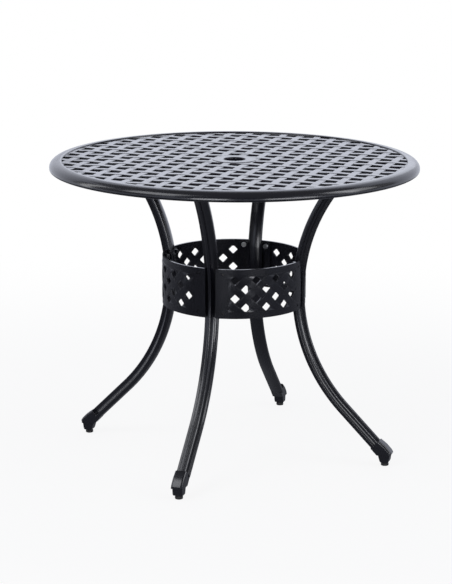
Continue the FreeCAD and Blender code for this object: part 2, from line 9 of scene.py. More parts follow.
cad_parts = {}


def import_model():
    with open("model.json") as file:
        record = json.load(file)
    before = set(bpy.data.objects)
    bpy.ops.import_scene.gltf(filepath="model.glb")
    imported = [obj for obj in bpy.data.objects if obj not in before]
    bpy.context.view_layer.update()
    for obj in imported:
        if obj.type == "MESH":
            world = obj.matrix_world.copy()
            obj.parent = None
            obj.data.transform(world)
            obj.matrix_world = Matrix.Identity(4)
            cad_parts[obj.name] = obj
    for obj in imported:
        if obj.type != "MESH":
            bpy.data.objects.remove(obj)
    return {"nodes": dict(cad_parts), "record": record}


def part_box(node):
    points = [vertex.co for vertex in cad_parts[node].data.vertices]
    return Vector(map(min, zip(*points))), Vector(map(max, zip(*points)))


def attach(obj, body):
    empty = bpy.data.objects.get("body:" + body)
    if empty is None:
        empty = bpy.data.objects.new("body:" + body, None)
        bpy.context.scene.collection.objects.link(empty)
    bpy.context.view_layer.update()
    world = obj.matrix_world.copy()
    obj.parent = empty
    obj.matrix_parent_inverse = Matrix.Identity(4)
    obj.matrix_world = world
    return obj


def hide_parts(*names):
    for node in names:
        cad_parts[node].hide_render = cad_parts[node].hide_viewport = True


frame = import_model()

bl_info = {
    "name": "Woven Cast Table",
    "version": (1, 0, 0),
    "blender": (4, 5, 0),
    "location": "3D View > Sidebar > Table",
    "description": "Dresses a round cast table with a woven lattice top",
    "category": "Object",
}

MM = 0.001
TINY = 1e-6
OVERLAP = 2 * MM  # how far a piece reaches into its neighbour
UNLIMITED = 1.0  # a reach that cuts nothing off
RIM_STEPS, HUB_STEPS, GLIDE_STEPS = 256, 96, 48
UPPER_STEPS, LOWER_STEPS, END_STEPS, CROWN_STEPS = 44, 36, 8, 8
TOP_STATIONS, RING_STATIONS = 117, 41
STRAP_VALUES = ("half", "middle", "side", "turn")
HOME = "table"
LEGS = {"right": 0, "back": 90, "left": 180, "front": 270}
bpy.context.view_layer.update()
TOP_LOW, TOP_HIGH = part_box("table_top")
LEG_LOW, LEG_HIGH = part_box("leg_right")
SHOE_LOW, SHOE_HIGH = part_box("shoe_right")
GLIDE_LOW, GLIDE_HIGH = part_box("glide_pad_right")


def length(name, description, default):
    """A setting in metres."""
    return FloatProperty(name=name, description=description, default=default, unit="LENGTH", precision=4)


def angle(name, description, degrees):
    """A setting that is written in degrees and kept in radians."""
    return FloatProperty(name=name, description=description, default=math.radians(degrees), unit="ROTATION")


def amount(name, description, default):
    """A setting from 0 to 1."""
    return FloatProperty(name=name, description=description, default=default, min=0, max=1, subtype="FACTOR")


def colour(name, description, default):
    """A setting that is a linear colour."""
    return FloatVectorProperty(name=name, description=description, default=default, size=3,
                               min=0, max=1, subtype="COLOR")


class TopSizes(bpy.types.PropertyGroup):
    """Sizes of the cast top"""

    radius: length("Radius", "Outer radius of the rim", TOP_HIGH[0])
    height: length("Height", "Floor to the rim's crest", TOP_HIGH[2])
    rim_width: length("Rim width", "Plan width of the rim", 30 * MM)
    rim_depth: length("Rim depth", "Height of the rim's outer side", 22 * MM)
    rim_roll: length("Shoulder width", "Plan width of the rim's rounded shoulder", 22 * MM)
    rim_drop: length("Shoulder drop", "Height of the rim's rounded shoulder", 16 * MM)
    skirt: length("Skirt wall", "Wall of the rim's hanging skirt", 7 * MM)
    lip: length("Lip", "Rim's crest above the plate", 2.7 * MM)
    plate: length("Plate", "Thickness of the lattice plate", 7 * MM)
    pitch: length("Pitch", "Spacing of the openings", 44 * MM)
    opening: length("Opening", "Side of an opening", 26 * MM)
    weave: length("Weave", "How far a strap rises over its neighbour", 0.32 * MM)
    strap_edge: length("Strap edge", "Rounding of a strap's edges", 1.5 * MM)
    hub: length("Hub radius", "Closed disc round the parasol hole", 50 * MM)
    hub_step: length("Hub step", "Hub disc above the plate", 1.2 * MM)
    pole_hole: length("Parasol hole", "Diameter of the parasol hole", 50 * MM)
    boss_wall: length("Boss wall", "Wall of the boss under the hub", 9 * MM)
    rib_width: length("Under rib", "Width of the ribs under the plate", 8 * MM)
    rib_depth: length("Rib depth", "Depth of the ribs and leg pads", 10 * MM)
    rim_round: length("Rim rounding", "Rounding of the rim's lower outer edge", 4 * MM)
    skirt_round: length("Skirt rounding", "Rounding of the skirt's lower inner edge", 1.2 * MM)
    skirt_fillet: length("Skirt fillet", "Hollow rounding between the skirt and the plate", 3 * MM)
    hub_round: length("Hub rounding", "Rounding of the hub's and the boss's edges", 1.5 * MM)
    boss_fillet: length("Boss fillet", "Hollow rounding between the boss and the plate", 4 * MM)
    rib_round: length("Rib rounding", "Rounding of the ribs' and leg pads' edges", 1.2 * MM)
    rib_sink: length("Rib sink", "How far ribs and leg pads reach into the plate", 1 * MM)
    pad_margin: length("Leg pad margin", "Leg pads beyond the legs' top plates", 2 * MM)
    strap_rise: length("Strap underside", "Straps' undersides above the plate's", 0.6 * MM)
    strap_end: length("Strap end", "Farthest that a strap's corner runs into the rim", 10 * MM)
    strap_start: amount("Strap start", "Where the middle straps start, as a part of the hub", 0.72)


class LegSizes(bpy.types.PropertyGroup):
    """Sizes of the four legs"""

    waist_radius: length("Waist radius", "Leg centre line at its narrowest", 158 * MM)
    waist_height: length("Waist height", "Height of the narrowest place", 402 * MM)
    upper_bend: length("Upper bend", "Bend radius above the waist", 410 * MM)
    lower_bend: length("Lower bend", "Bend radius below the waist", 385 * MM)
    slope: angle("Slope", "Slope of the straight lower end", 45)
    end_height: length("End height", "Centre of the lower end", 50.6 * MM)
    width: length("Width", "Leg across its core", LEG_HIGH[1] - LEG_LOW[1])
    depth: length("Depth", "Leg from inner face to rib", 27.5 * MM)
    flange: length("Flange", "Depth of the wide inner flange", 11.2 * MM)
    crown: length("Crown", "Bulge of the inner face", 3 * MM)
    rib: length("Rib width", "Width of the outer rib", 6 * MM)
    ridge: length("Ridge", "Rounding of the rib's outer edges", 2 * MM)
    root: length("Root", "Hollow rounding at the rib's foot", 9 * MM)
    shoulder: length("Shoulder", "Rounding of the flange's edges", 1 * MM)
    corner: length("Corner", "Width of the inner corners' rounding", 0.8 * MM)
    corner_rise: length("Corner rise", "Height of the inner corners' rounding", 0.9 * MM)
    corner_ease: length("Corner ease", "Inner corners' middle inside the side", 0.25 * MM)


class ShoeSizes(bpy.types.PropertyGroup):
    """Sizes of the shoes, about the glide's axis"""

    end: length("Leg end", "Axis beyond the leg's end", 22 * MM)
    toe: length("Toe", "Toe beyond the axis", 17.5 * MM)
    heel: length("Heel", "Heel inside the axis", 17 * MM)
    toe_height: length("Toe height", "Height of the foremost edge", 31.5 * MM)
    bevel_rise: length("Bevel rise", "Rise of the toe's upper bevel", 6.5 * MM)
    bevel_run: length("Bevel run", "Run of the toe's upper bevel", 4 * MM)
    brow: length("Brow", "Crown of the toe beyond the axis", 2.5 * MM)
    brow_height: length("Brow height", "Height of the toe's crown", 49.5 * MM)
    skirt: length("Skirt", "Cap below its foremost edge", 6 * MM)
    stem: length("Stem", "Stem across the leg", 23.5 * MM)
    chamfer: length("Chamfer", "Height of the chamfer under the stem", 5 * MM)
    inset: length("Inset", "Width of the chamfer", 2 * MM)
    round: length("Round", "Rounding along the cap's upper sides", 5.5 * MM)
    heel_taper: length("Heel taper", "How far the stem narrows at its heel", 6 * MM)
    toe_taper: length("Toe taper", "How far the stem narrows at its toe", 3 * MM)
    cap_edge: length("Cap edge", "Bevel of the cap's edges", 1.2 * MM)
    stem_edge: length("Stem edge", "Bevel of the stem's edges", 2.6 * MM)
    tuck: length("Tuck", "How far the stem keeps inside the cap", 0.3 * MM)


class RingSizes(bpy.types.PropertyGroup):
    """Sizes of the lattice ring"""

    radius: length("Radius", "Outer radius of the panels", 167 * MM)
    middle: length("Middle", "Height of the middle of the openings", 417.75 * MM)
    column: angle("Column step", "Angle between columns of openings", 8.5)
    row: length("Row step", "Height between rows of openings", 21.3 * MM)
    opening: length("Opening", "Side of an opening", 15.5 * MM)
    field_low: length("Field low", "Top of the lower band", 377 * MM)
    field_high: length("Field high", "Bottom of the upper band", 458.5 * MM)
    columns: FloatProperty(name="Columns", description="Columns of straps each side of the middle",
                           default=3.62)
    relief: length("Relief", "Straps above the panel's face", 0.7 * MM)
    strap: length("Strap thickness", "Thickness of the relief's straps", 1.8 * MM)
    strap_edge: length("Strap edge", "Rounding of the relief's straps", 0.5 * MM)
    inset: length("Strap inset", "Straps narrower than the space between openings", 1.6 * MM)
    weave: length("Ring weave", "How far a strap rises over its neighbour", 0.3 * MM)
    bolt_tip: length("Bolt tip", "Bolts are coated from this far inside the panels on", 3.2 * MM)
    bolt_height: length("Bolt height", "Bolts are coated up to here above the openings", 40 * MM)


class GlideSizes(bpy.types.PropertyGroup):
    """Sizes of the levelling glides"""

    neck_step: length("Neck step", "Neck inside the pad's side", 1.6 * MM)
    shoulder: length("Shoulder", "Height of the pad", 6.4 * MM)
    seat: length("Seat", "Height at which the stud is seated", 3 * MM)
    bore: length("Bore", "Radius of the stud's bore", 4 * MM)
    soft: length("Rounding", "Rounding of the pad's edges", 1.4 * MM)
    neck_foot: length("Neck foot", "Hollow rounding at the neck's foot", 0.3 * MM)


class Finishes(bpy.types.PropertyGroup):
    """Colours and gloss"""

    coat: colour("Powder coat", "Colour of the coating", (0.0075, 0.0075, 0.0112))
    coat_rough: amount("Coat roughness", "Roughness of the coating", 0.25)
    coat_spread: amount("Coat spread", "How far the coating's roughness varies", 0.12)
    clear: amount("Coat gloss", "Weight of the clear layer", 0.65)
    zinc: colour("Zinc", "Colour of the plated fasteners", (0.60, 0.61, 0.63))
    nylon: colour("Nylon", "Colour of the glides", (0.012, 0.012, 0.013))


class StageSettings(bpy.types.PropertyGroup):
    """Floor, lamps and camera"""

    floor: colour("Floor", "Colour of the floor", (0.86, 0.86, 0.86))
    daylight: colour("Daylight", "Cool white of the surroundings", (0.80, 0.83, 0.94))
    sky: amount("Sky", "World light that falls on the table", 0.55)
    floor_white: amount("Floor white", "How far the floor near the table looks plain white", 0.88)
    # Painted shade: how dim gloss sees the floor near the table
    floor_gloss_shade: amount("Floor gloss", "How bright gloss sees the floor near the table", 0.15)
    camera_distance: length("Camera distance", "Camera from the table's axis", 4.26)
    camera_height: length("Camera height", "Camera above the floor", 1.424)
    camera_turn: angle("Camera turn", "Camera's direction from the front leg", 18.7)
    camera_pitch: angle("Camera pitch", "Camera looks down", 13.73)
    camera_yaw: angle("Camera yaw", "Camera looks left of the axis", 0.25)
    camera_roll: angle("Camera roll", "Camera tilts to the left", 0.19)
    focal: FloatProperty(name="Focal length", description="In millimetres", default=115.54)
    lamp_key: FloatProperty(name="Key lamp", description="Watts", default=27)
    lamp_fill: FloatProperty(name="Fill lamp", description="Watts", default=14)
    lamp_back: FloatProperty(name="Back lamp", description="Watts", default=6.7)


class TableSettings(bpy.types.PropertyGroup):
    """Everything that the operators read"""

    top: PointerProperty(type=TopSizes)
    leg: PointerProperty(type=LegSizes)
    shoe: PointerProperty(type=ShoeSizes)
    ring: PointerProperty(type=RingSizes)
    glide: PointerProperty(type=GlideSizes)
    finish: PointerProperty(type=Finishes)
    stage: PointerProperty(type=StageSettings)


def settings():
    return bpy.context.scene.woven_table


class Wire:
    """A node's output that takes Python arithmetic."""

    def __init__(self, graph, socket):
        self.graph, self.socket = graph, socket

    def __add__(self, other):
        return self.graph.math("ADD", self, other)

    def __sub__(self, other):
        return self.graph.math("SUBTRACT", self, other)

    def __rsub__(self, other):
        return self.graph.math("SUBTRACT", other, self)

    def __mul__(self, other):
        return self.graph.math("MULTIPLY", self, other)

    def __truediv__(self, other):
        return self.graph.math("DIVIDE", self, other)

    def __neg__(self):
        return self.graph.math("MULTIPLY", self, -1)

    __radd__ = __add__
    __rmul__ = __mul__


class Graph:
    """Adds nodes to a shader or geometry tree."""

    def __init__(self, tree):
        self.tree = tree

    def add(self, kind, options=None, inputs=None):
        node = self.tree.nodes.new(kind)
        for name, value in (options or {}).items():
            setattr(node, name, value)
        for name, value in (inputs or {}).items():
            if isinstance(value, Wire):
                self.tree.links.new(value.socket, node.inputs[name])
            else:
                node.inputs[name].default_value = value
        return node

    def node(self, kind, options=None, inputs=None, output=0):
        return Wire(self, self.add(kind, options, inputs).outputs[output])

    def math(self, operation, *values):
        inputs = dict(enumerate(values))
        return self.node("ShaderNodeMath", {"operation": operation}, inputs)


def new_material(name):
    """An empty material and the graph that fills it."""
    material = bpy.data.materials.new(name)
    material.use_nodes = True
    material.node_tree.nodes.clear()
    return material, Graph(material.node_tree)


def finish_material(graph, inputs):
    """One layered shader, with links or values on its sockets."""
    shader = graph.node("ShaderNodeBsdfPrincipled", None, inputs)
    graph.add("ShaderNodeOutputMaterial", None, {"Surface": shader})


def noise(graph, scale, detail=2, rough=0.5):
    """Fractal noise in the object's own coordinates, with about scale cells to the metre."""
    place = graph.node("ShaderNodeTexCoord", output="Object")
    return graph.node("ShaderNodeTexNoise", None,
                      {"Vector": place, "Scale": scale, "Detail": detail, "Roughness": rough})


def shaded(tone, factor):
    """A darker or lighter shade of a colour."""
    return [min(1, part * factor) for part in tone]


def blend_colours(graph, factor, dark, light):
    """The dark colour at a factor of 0 and the light one at 1."""
    return graph.node("ShaderNodeMix", {"data_type": "RGBA"},
                      {"Factor": factor, "A": (*dark, 1), "B": (*light, 1)}, output=2)


def bump(graph, height, strength, distance, onto=None):
    """Normals of a bumpy surface, over another one where given."""
    inputs = {"Height": height, "Strength": strength, "Distance": distance}
    if onto:
        inputs["Normal"] = onto
    return graph.node("ShaderNodeBump", None, inputs)


def powder_coat(name):
    """Satin black coating with fine orange peel over an uneven casting."""
    finish = settings().finish
    material, graph = new_material(name)
    casting = noise(graph, scale=45, detail=3)
    peel = noise(graph, scale=1300, detail=2, rough=0.6)
    patches = noise(graph, scale=14, detail=4)
    base = blend_colours(graph, patches, shaded(finish.coat, 0.85), shaded(finish.coat, 1.2))
    spread = finish.coat_spread
    rough = finish.coat_rough - spread / 2 + spread * noise(graph, scale=30, detail=4)
    surface = bump(graph, casting, strength=0.07, distance=0.8 * MM)
    surface = bump(graph, peel, strength=0.05, distance=0.12 * MM, onto=surface)
    finish_material(graph, {
        "Base Color": base, "Roughness": rough, "Normal": surface,
        "Coat Weight": finish.clear, "Coat Roughness": 0.15, "Specular IOR Level": 0.3,
        "Specular Tint": (0.84, 0.88, 1, 1),
    })
    return material


def zinc_plate(name):
    """Bright zinc with faint cloudy passivation; the ring bolts' tips are coated over."""
    finish, ring = settings().finish, settings().ring
    material, graph = new_material(name)
    clouds = noise(graph, scale=260, detail=5, rough=0.6)
    base = blend_colours(graph, clouds, shaded(finish.zinc, 0.86), shaded(finish.zinc, 1.1))
    place = graph.add("ShaderNodeSeparateXYZ", None,
                      {"Vector": graph.node("ShaderNodeTexCoord", output="Object")})
    x, y, z = (Wire(graph, place.outputs[i]) for i in range(3))
    reach = graph.math("SQRT", x * x + y * y)
    tip = graph.math("GREATER_THAN", reach, ring.radius - ring.bolt_tip)
    tip = tip * graph.math("LESS_THAN", z, ring.field_high + ring.bolt_height)
    base = graph.node("ShaderNodeMix", {"data_type": "RGBA"},
                      {"Factor": tip, "A": base, "B": (*finish.coat, 1)}, output=2)
    finish_material(graph, {
        "Base Color": base, "Metallic": 1 - tip, "Roughness": 0.22 + 0.16 * clouds,
        "Normal": bump(graph, noise(graph, scale=2200), strength=0.15, distance=0.1 * MM),
    })
    return material


def nylon(name):
    """Moulded black plastic, finely textured and a little scuffed."""
    finish = settings().finish
    material, graph = new_material(name)
    scuffs = noise(graph, scale=500, detail=5, rough=0.7)
    base = blend_colours(graph, scuffs, finish.nylon, shaded(finish.nylon, 2.2))
    finish_material(graph, {
        "Base Color": base, "Roughness": 0.46 + 0.2 * scuffs,
        "Normal": bump(graph, noise(graph, scale=2600, detail=3), strength=0.3, distance=0.12 * MM),
    })
    return material


FINISHES = {
    "powder_coat": ("satin black coat", powder_coat),
    "zinc_plate": ("bright zinc", zinc_plate),
    "nylon": ("moulded plastic", nylon),
}


def material(slot):
    """A slot's finish, made when it is first asked for."""
    name, make = FINISHES[slot]
    return bpy.data.materials.get(name) or make(name)


def placed(name, data):
    """A new object in the scene."""
    item = bpy.data.objects.new(name, data)
    bpy.context.scene.collection.objects.link(item)
    return item


def finished(name, mesh, body, slot, *nodes):
    """Puts a piece in the scene, on its body, in place of CAD nodes."""
    piece = placed(name, mesh)
    mesh.materials.clear()
    mesh.materials.append(material(slot))
    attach(piece, body)
    if nodes:
        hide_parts(*nodes)
    return piece


def mesh_from(name, points, faces):
    """A smooth mesh of points and faces."""
    mesh = bpy.data.meshes.new(name)
    mesh.from_pydata(points, [], faces)
    mesh.polygons.foreach_set("use_smooth", [True] * len(faces))
    mesh.update()
    return mesh


def arc(centre, radii, start, end, steps):
    """Points of an elliptical arc in a profile, angles in degrees."""
    turns = [math.radians(start + (end - start) * i / steps) for i in range(steps + 1)]
    return [(centre[0] + radii[0] * math.cos(t), centre[1] + radii[1] * math.sin(t)) for t in turns]


def skinned(name, rings, endless=False):
    """A closed mesh over rings of points, capped at the ends or joined all round."""
    count = len(rings[0])
    points = [point for ring in rings for point in ring]
    last = len(points) - 1
    faces = [] if endless else [tuple(range(count)), tuple(range(last, last - count, -1))]
    for row in range(len(rings) if endless else len(rings) - 1):
        here, there = row * count, (row + 1) % len(rings) * count
        for i in range(count):
            j = (i + 1) % count
            faces.append((here + i, there + i, there + j, here + j))
    return outward(mesh_from(name, points, faces))


def lathe(name, profile, segments, centre=(0, 0)):
    """Turns a closed profile of (radius, height) about an upright axis."""
    rings = []
    for step in range(segments):
        turn = 2 * math.pi * step / segments
        rings.append([(centre[0] + radius * math.cos(turn), centre[1] + radius * math.sin(turn), height)
                      for radius, height in profile])
    return skinned(name, rings, endless=True)


def outward(mesh):
    """Merges doubles and turns all faces outwards."""
    shape = bmesh.new()
    shape.from_mesh(mesh)
    bmesh.ops.remove_doubles(shape, verts=shape.verts, dist=TINY)
    bmesh.ops.recalc_face_normals(shape, faces=shape.faces)
    shape.to_mesh(mesh)
    shape.free()
    return mesh


def crisp(mesh, degrees=35):
    """Smooth shading that keeps edges sharper than an angle."""
    mesh.polygons.foreach_set("use_smooth", [True] * len(mesh.polygons))
    mesh.set_sharp_from_angle(angle=math.radians(degrees))
    return mesh


def applied(mesh, kind, options):
    """The mesh after a modifier."""
    holder = placed("holder", mesh)
    modifier = holder.modifiers.new(kind.lower(), kind)
    for name, value in options.items():
        setattr(modifier, name, value)
    result = evaluated(holder)
    bpy.data.objects.remove(holder)
    return result


def evaluated(holder):
    """A plain mesh of an object as its modifiers leave it."""
    graph = bpy.context.evaluated_depsgraph_get()
    return bpy.data.meshes.new_from_object(holder.evaluated_get(graph))


def faceted(mesh, degrees=40):
    """Smooth shading that leaves the wide faces flat and rounds only their edges."""
    return applied(crisp(mesh, degrees), "WEIGHTED_NORMAL", {"weight": 100, "keep_sharp": True})


def bevelled(mesh, width, segments=3, degrees=30):
    """A mesh whose edges, where sharper than an angle, are rounded."""
    options = {"width": width, "segments": segments, "limit_method": "ANGLE",
               "angle_limit": math.radians(degrees)}
    return crisp(applied(mesh, "BEVEL", options))


def joined(name, meshes):
    """One mesh from several, each left closed."""
    shape = bmesh.new()
    for mesh in meshes:
        shape.from_mesh(mesh)
    whole = bpy.data.meshes.new(name)
    shape.to_mesh(whole)
    shape.free()
    return whole


def block(low, high):
    """A box between two corners."""
    shape = bmesh.new()
    bmesh.ops.create_cube(shape, size=1)
    low, high = Vector(low), Vector(high)
    for vertex in shape.verts:
        vertex.co = Vector([(low[i] + high[i]) / 2 + vertex.co[i] * (high[i] - low[i]) for i in range(3)])
    mesh = bpy.data.meshes.new("block")
    shape.to_mesh(mesh)
    shape.free()
    return mesh


def turned_copy(mesh, degrees):
    """A copy of a mesh, turned about the table's axis."""
    copy = mesh.copy()
    copy.transform(Matrix.Rotation(math.radians(degrees), 4, "Z"))
    return copy


def woven_tree():
    """Instances a strap on each point, weaves it and bends it round an axis."""
    tree = bpy.data.node_groups.new("woven straps", "GeometryNodeTree")
    tree.interface.new_socket("Geometry", in_out="OUTPUT", socket_type="NodeSocketGeometry")
    tree.interface.new_socket("Points", in_out="INPUT", socket_type="NodeSocketGeometry")
    for name in ("Width", "Thickness", "Edge", "Step", "Rise", "Bend radius", "Reach", "Half length",
                 "Low", "High"):
        tree.interface.new_socket(name, in_out="INPUT", socket_type="NodeSocketFloat")
    tree.interface.new_socket("Stations", in_out="INPUT", socket_type="NodeSocketInt")
    tree.interface.new_socket("Material", in_out="INPUT", socket_type="NodeSocketMaterial")
    graph = Graph(tree)
    source = graph.add("NodeGroupInput")

    def given(name):
        return Wire(graph, source.outputs[name])

    def attribute(name):
        return graph.node("GeometryNodeInputNamedAttribute", {"data_type": "FLOAT"}, {"Name": name})

    line = graph.node("GeometryNodeCurvePrimitiveLine", None, {"Start": (-1, 0, 0), "End": (1, 0, 0)})
    line = graph.node("GeometryNodeResampleCurve", None, {"Curve": line, "Count": given("Stations")})
    outline = graph.node("GeometryNodeCurvePrimitiveQuadrilateral", None,
                         {"Width": given("Width"), "Height": given("Thickness")})
    outline = graph.node("GeometryNodeFilletCurve", {"mode": "POLY"},
                         {"Curve": outline, "Count": 3, "Radius": given("Edge"), "Limit Radius": True})
    strap = graph.node("GeometryNodeCurveToMesh", None,
                       {"Curve": line, "Profile Curve": outline, "Fill Caps": True})
    place = graph.add("GeometryNodeInputPosition")
    parts = graph.add("ShaderNodeSeparateXYZ", None, {"Vector": Wire(graph, place.outputs[0])})
    strap = graph.node("GeometryNodeStoreNamedAttribute", {"data_type": "FLOAT", "domain": "POINT"},
                       {"Geometry": strap, "Name": "along", "Value": Wire(graph, parts.outputs[0])})
    turn = graph.node("ShaderNodeCombineXYZ", None, {"Z": attribute("turn")})
    stretch = graph.node("ShaderNodeCombineXYZ", None, {"X": attribute("half"), "Y": 1, "Z": 1})
    straps = graph.node("GeometryNodeInstanceOnPoints", None,
                        {"Points": given("Points"), "Instance": strap, "Rotation": turn, "Scale": stretch})
    straps = graph.node("GeometryNodeRealizeInstances", None, {"Geometry": straps})
    travel = attribute("along") * attribute("half") + attribute("middle")
    wave = graph.math("COSINE", travel * math.pi / given("Step"))
    # A wave with broad crests, whose arc tangent is 1.25 there before it is scaled back to 1.
    flat_topped = graph.math("ARCTANGENT", wave * 3) * 0.8
    lift = graph.node("ShaderNodeCombineXYZ", None, {"Z": flat_topped * attribute("side") * given("Rise")})
    straps = graph.node("GeometryNodeSetPosition", None, {"Geometry": straps, "Offset": lift})
    x, y, z = (Wire(graph, parts.outputs[i]) for i in range(3))
    distance = graph.math("SQRT", x * x + y * y)
    pull = graph.math("MINIMUM", given("Reach") / graph.math("MAXIMUM", distance, TINY), 1)
    limited = graph.math("MAXIMUM", graph.math("MINIMUM", x * pull, given("Half length")),
                         -given("Half length"))
    level = graph.math("MAXIMUM", graph.math("MINIMUM", y * pull, given("High")), given("Low"))
    inside = graph.node("ShaderNodeCombineXYZ", None, {"X": limited, "Y": level, "Z": z})
    straps = graph.node("GeometryNodeSetPosition", None, {"Geometry": straps, "Position": inside})
    bend = given("Bend radius")
    swing = x / graph.math("MAXIMUM", bend, TINY)
    round_it = graph.node("ShaderNodeCombineXYZ", None, {
        "X": (bend + z) * graph.math("COSINE", swing),
        "Y": (bend + z) * graph.math("SINE", swing), "Z": y,
    })
    is_bent = graph.node("FunctionNodeCompare", {"data_type": "FLOAT", "operation": "GREATER_THAN"},
                         {"A": bend, "B": 0})
    straps = graph.node("GeometryNodeSetPosition", None,
                        {"Geometry": straps, "Selection": is_bent, "Position": round_it})
    straps = graph.node("GeometryNodeSetShadeSmooth", None, {"Geometry": straps, "Shade Smooth": True})
    straps = graph.node("GeometryNodeSetMaterial", None, {"Geometry": straps, "Material": given("Material")})
    graph.add("NodeGroupOutput", None, {"Geometry": straps})
    return tree


def woven(name, rows, inputs):
    """Straps on points; each row is place, half length, middle, side, turn."""
    tree = bpy.data.node_groups.get("woven straps") or woven_tree()
    mesh = bpy.data.meshes.new(name)
    mesh.from_pydata([row[0] for row in rows], [], [])
    for index, attribute in enumerate(STRAP_VALUES, start=1):
        layer = mesh.attributes.new(attribute, "FLOAT", "POINT")
        layer.data.foreach_set("value", [row[index] for row in rows])
    holder = placed(name, mesh)
    modifier = holder.modifiers.new("straps", "NODES")
    modifier.node_group = tree
    for item in tree.interface.items_tree:
        if item.in_out == "INPUT" and item.name in inputs:
            modifier[item.identifier] = inputs[item.name]
    result = evaluated(holder)
    bpy.data.objects.remove(holder)
    for attribute in ("along", *STRAP_VALUES):
        if attribute in result.attributes:
            result.attributes.remove(result.attributes[attribute])
    return outward(result)


def rim_profile(top):
    """Crest, shoulder, side, lower edge, skirt and lip, all round."""
    edge, high = top.radius, top.height
    low, plate_top = high - top.rim_depth, high - top.lip
    under, soft, edging, hollow = plate_top - top.plate, top.rim_round, top.skirt_round, top.skirt_fillet
    step = 1 * MM
    inner, skirt = edge - top.rim_width + step, edge - top.skirt
    points = arc((edge - top.rim_roll, high - top.rim_drop), (top.rim_roll, top.rim_drop), 0, 90, 14)
    points += arc((inner + top.lip, plate_top), (top.lip, top.lip), 90, 180, 5)
    points += [(inner, plate_top - 2 * step), (inner, under + step), (inner + step, under)]
    points += arc((skirt - hollow, under - hollow), (hollow, hollow), 90, 0, 4)
    points += arc((skirt + edging, low + edging), (edging, edging), 180, 270, 3)
    points += arc((edge - soft, low + soft), (soft, soft), 270, 360, 6)
    return points


def hub_profile(top):
    """Disc, mouth of the hole, bore and boss, all round."""
    plate_top = top.height - top.lip
    under, mouth = plate_top - top.plate, plate_top + top.hub_step
    bore, boss = top.pole_hole / 2, top.pole_hole / 2 + top.boss_wall
    base, soft, hollow = TOP_LOW[2], top.hub_round, top.boss_fillet
    disc = top.hub + top.hub_step
    points = arc((bore + soft, mouth - soft), (soft, soft), 180, 90, 4)
    points += arc((disc - soft, mouth - soft), (soft, soft), 90, 0, 4)
    points += [(disc, under)]
    points += arc((boss + hollow, under - hollow), (hollow, hollow), 90, 180, 4)
    points += arc((boss - soft, base + soft), (soft, soft), 0, -90, 3)
    points += arc((bore + soft, base + soft), (soft, soft), 270, 180, 3)
    return points


def strap_rows(top):
    """Straps along X and Y; the middle ones stop at the hub."""
    wide = top.pitch - top.opening
    reach = top.radius - top.rim_width + OVERLAP
    level = top.height - top.lip - (top.plate - top.strap_rise) / 2
    start = top.hub * top.strap_start
    outermost = int(top.radius / top.pitch)
    rows = []
    for turn, family in ((0, 1), (math.pi / 2, -1)):
        across = Matrix.Rotation(turn, 3, "Z")
        for row in range(-outermost, outermost + 1):
            offset, side = row * top.pitch, family * (-1) ** row
            if row:
                inner = abs(offset) - wide / 2
                half = math.sqrt(reach ** 2 - inner ** 2)
                rows.append((across @ Vector((0, offset, level)), half, 0, side, turn))
                continue
            half = (reach - start) / 2
            for way in (-1, 1):
                middle = way * (reach + start) / 2
                rows.append((across @ Vector((middle, 0, level)), half, middle, side, turn))
    return rows


def under_parts(top):
    """Four ribs and four leg pads below the plate."""
    under = top.height - top.lip - top.plate
    low, high = under - top.rib_depth, under + top.rib_sink
    start, end = top.pole_hole / 2 + top.boss_wall - OVERLAP, top.radius - top.skirt + OVERLAP
    plate_low, plate_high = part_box("leg_top_plate_right")
    margin, soft = top.pad_margin, top.rib_round
    rib = bevelled(block((start, -top.rib_width / 2, low), (end, top.rib_width / 2, high)), soft, 2)
    pad = bevelled(block((plate_low[0] - margin, plate_low[1] - margin, low),
                         (plate_high[0] + margin, plate_high[1] + margin, high)), soft, 2)
    return [turned_copy(mesh, degrees) for mesh in (rib, pad) for degrees in LEGS.values()]


class TABLE_OT_top(bpy.types.Operator):
    """Rim, woven straps, hub and the ribs underneath"""

    bl_idname = "woven_table.top"
    bl_label = "Cast top"

    def execute(self, context):
        top = settings().top
        straps = woven("woven_straps", strap_rows(top), {
            "Width": top.pitch - top.opening, "Thickness": top.plate - top.strap_rise, "Edge": top.strap_edge,
            "Step": top.pitch, "Rise": top.weave, "Reach": top.radius - top.rim_width + top.strap_end,
            "Half length": top.radius, "Low": -top.radius, "High": top.radius, "Stations": TOP_STATIONS,
        })
        finished("top_rim", lathe("top_rim", rim_profile(top), RIM_STEPS), HOME, "powder_coat", "table_top")
        finished("woven_straps", faceted(straps, 50), HOME, "powder_coat")
        finished("top_hub", crisp(lathe("top_hub", hub_profile(top), HUB_STEPS)), HOME, "powder_coat")
        ribs = joined("under_ribs", under_parts(top))
        finished("under_ribs", faceted(ribs), HOME, "powder_coat")
        return {"FINISHED"}


def leg_profile(leg):
    """The leg's section as (outward, across) points: crowned flange and rib."""
    base, face = -leg.depth / 2, leg.depth / 2
    half, rib, soft = leg.width / 2, leg.rib / 2, leg.shoulder
    step, root, ridge = base + leg.flange, leg.root, leg.ridge
    bulge = (half ** 2 + leg.crown ** 2) / (2 * leg.crown)
    side = []
    for i in range(CROWN_STEPS + 1):
        across = (half - leg.corner) * i / CROWN_STEPS
        side.append((base + bulge - math.sqrt(bulge ** 2 - across ** 2), across))
    rise = leg.corner_rise
    side += [(base + leg.crown + rise / 3, half - leg.corner_ease), (base + leg.crown + rise, half)]
    side += arc((step - soft, half - soft), (soft, soft), 90, 0, 5)
    side += arc((step + root, rib + root), (root, root), 180, 270, 8)
    side += arc((face - ridge, rib - ridge), (ridge, ridge), 90, 0, 6)
    other = [(out, -across) for out, across in reversed(side)]
    return side + other[:-1]


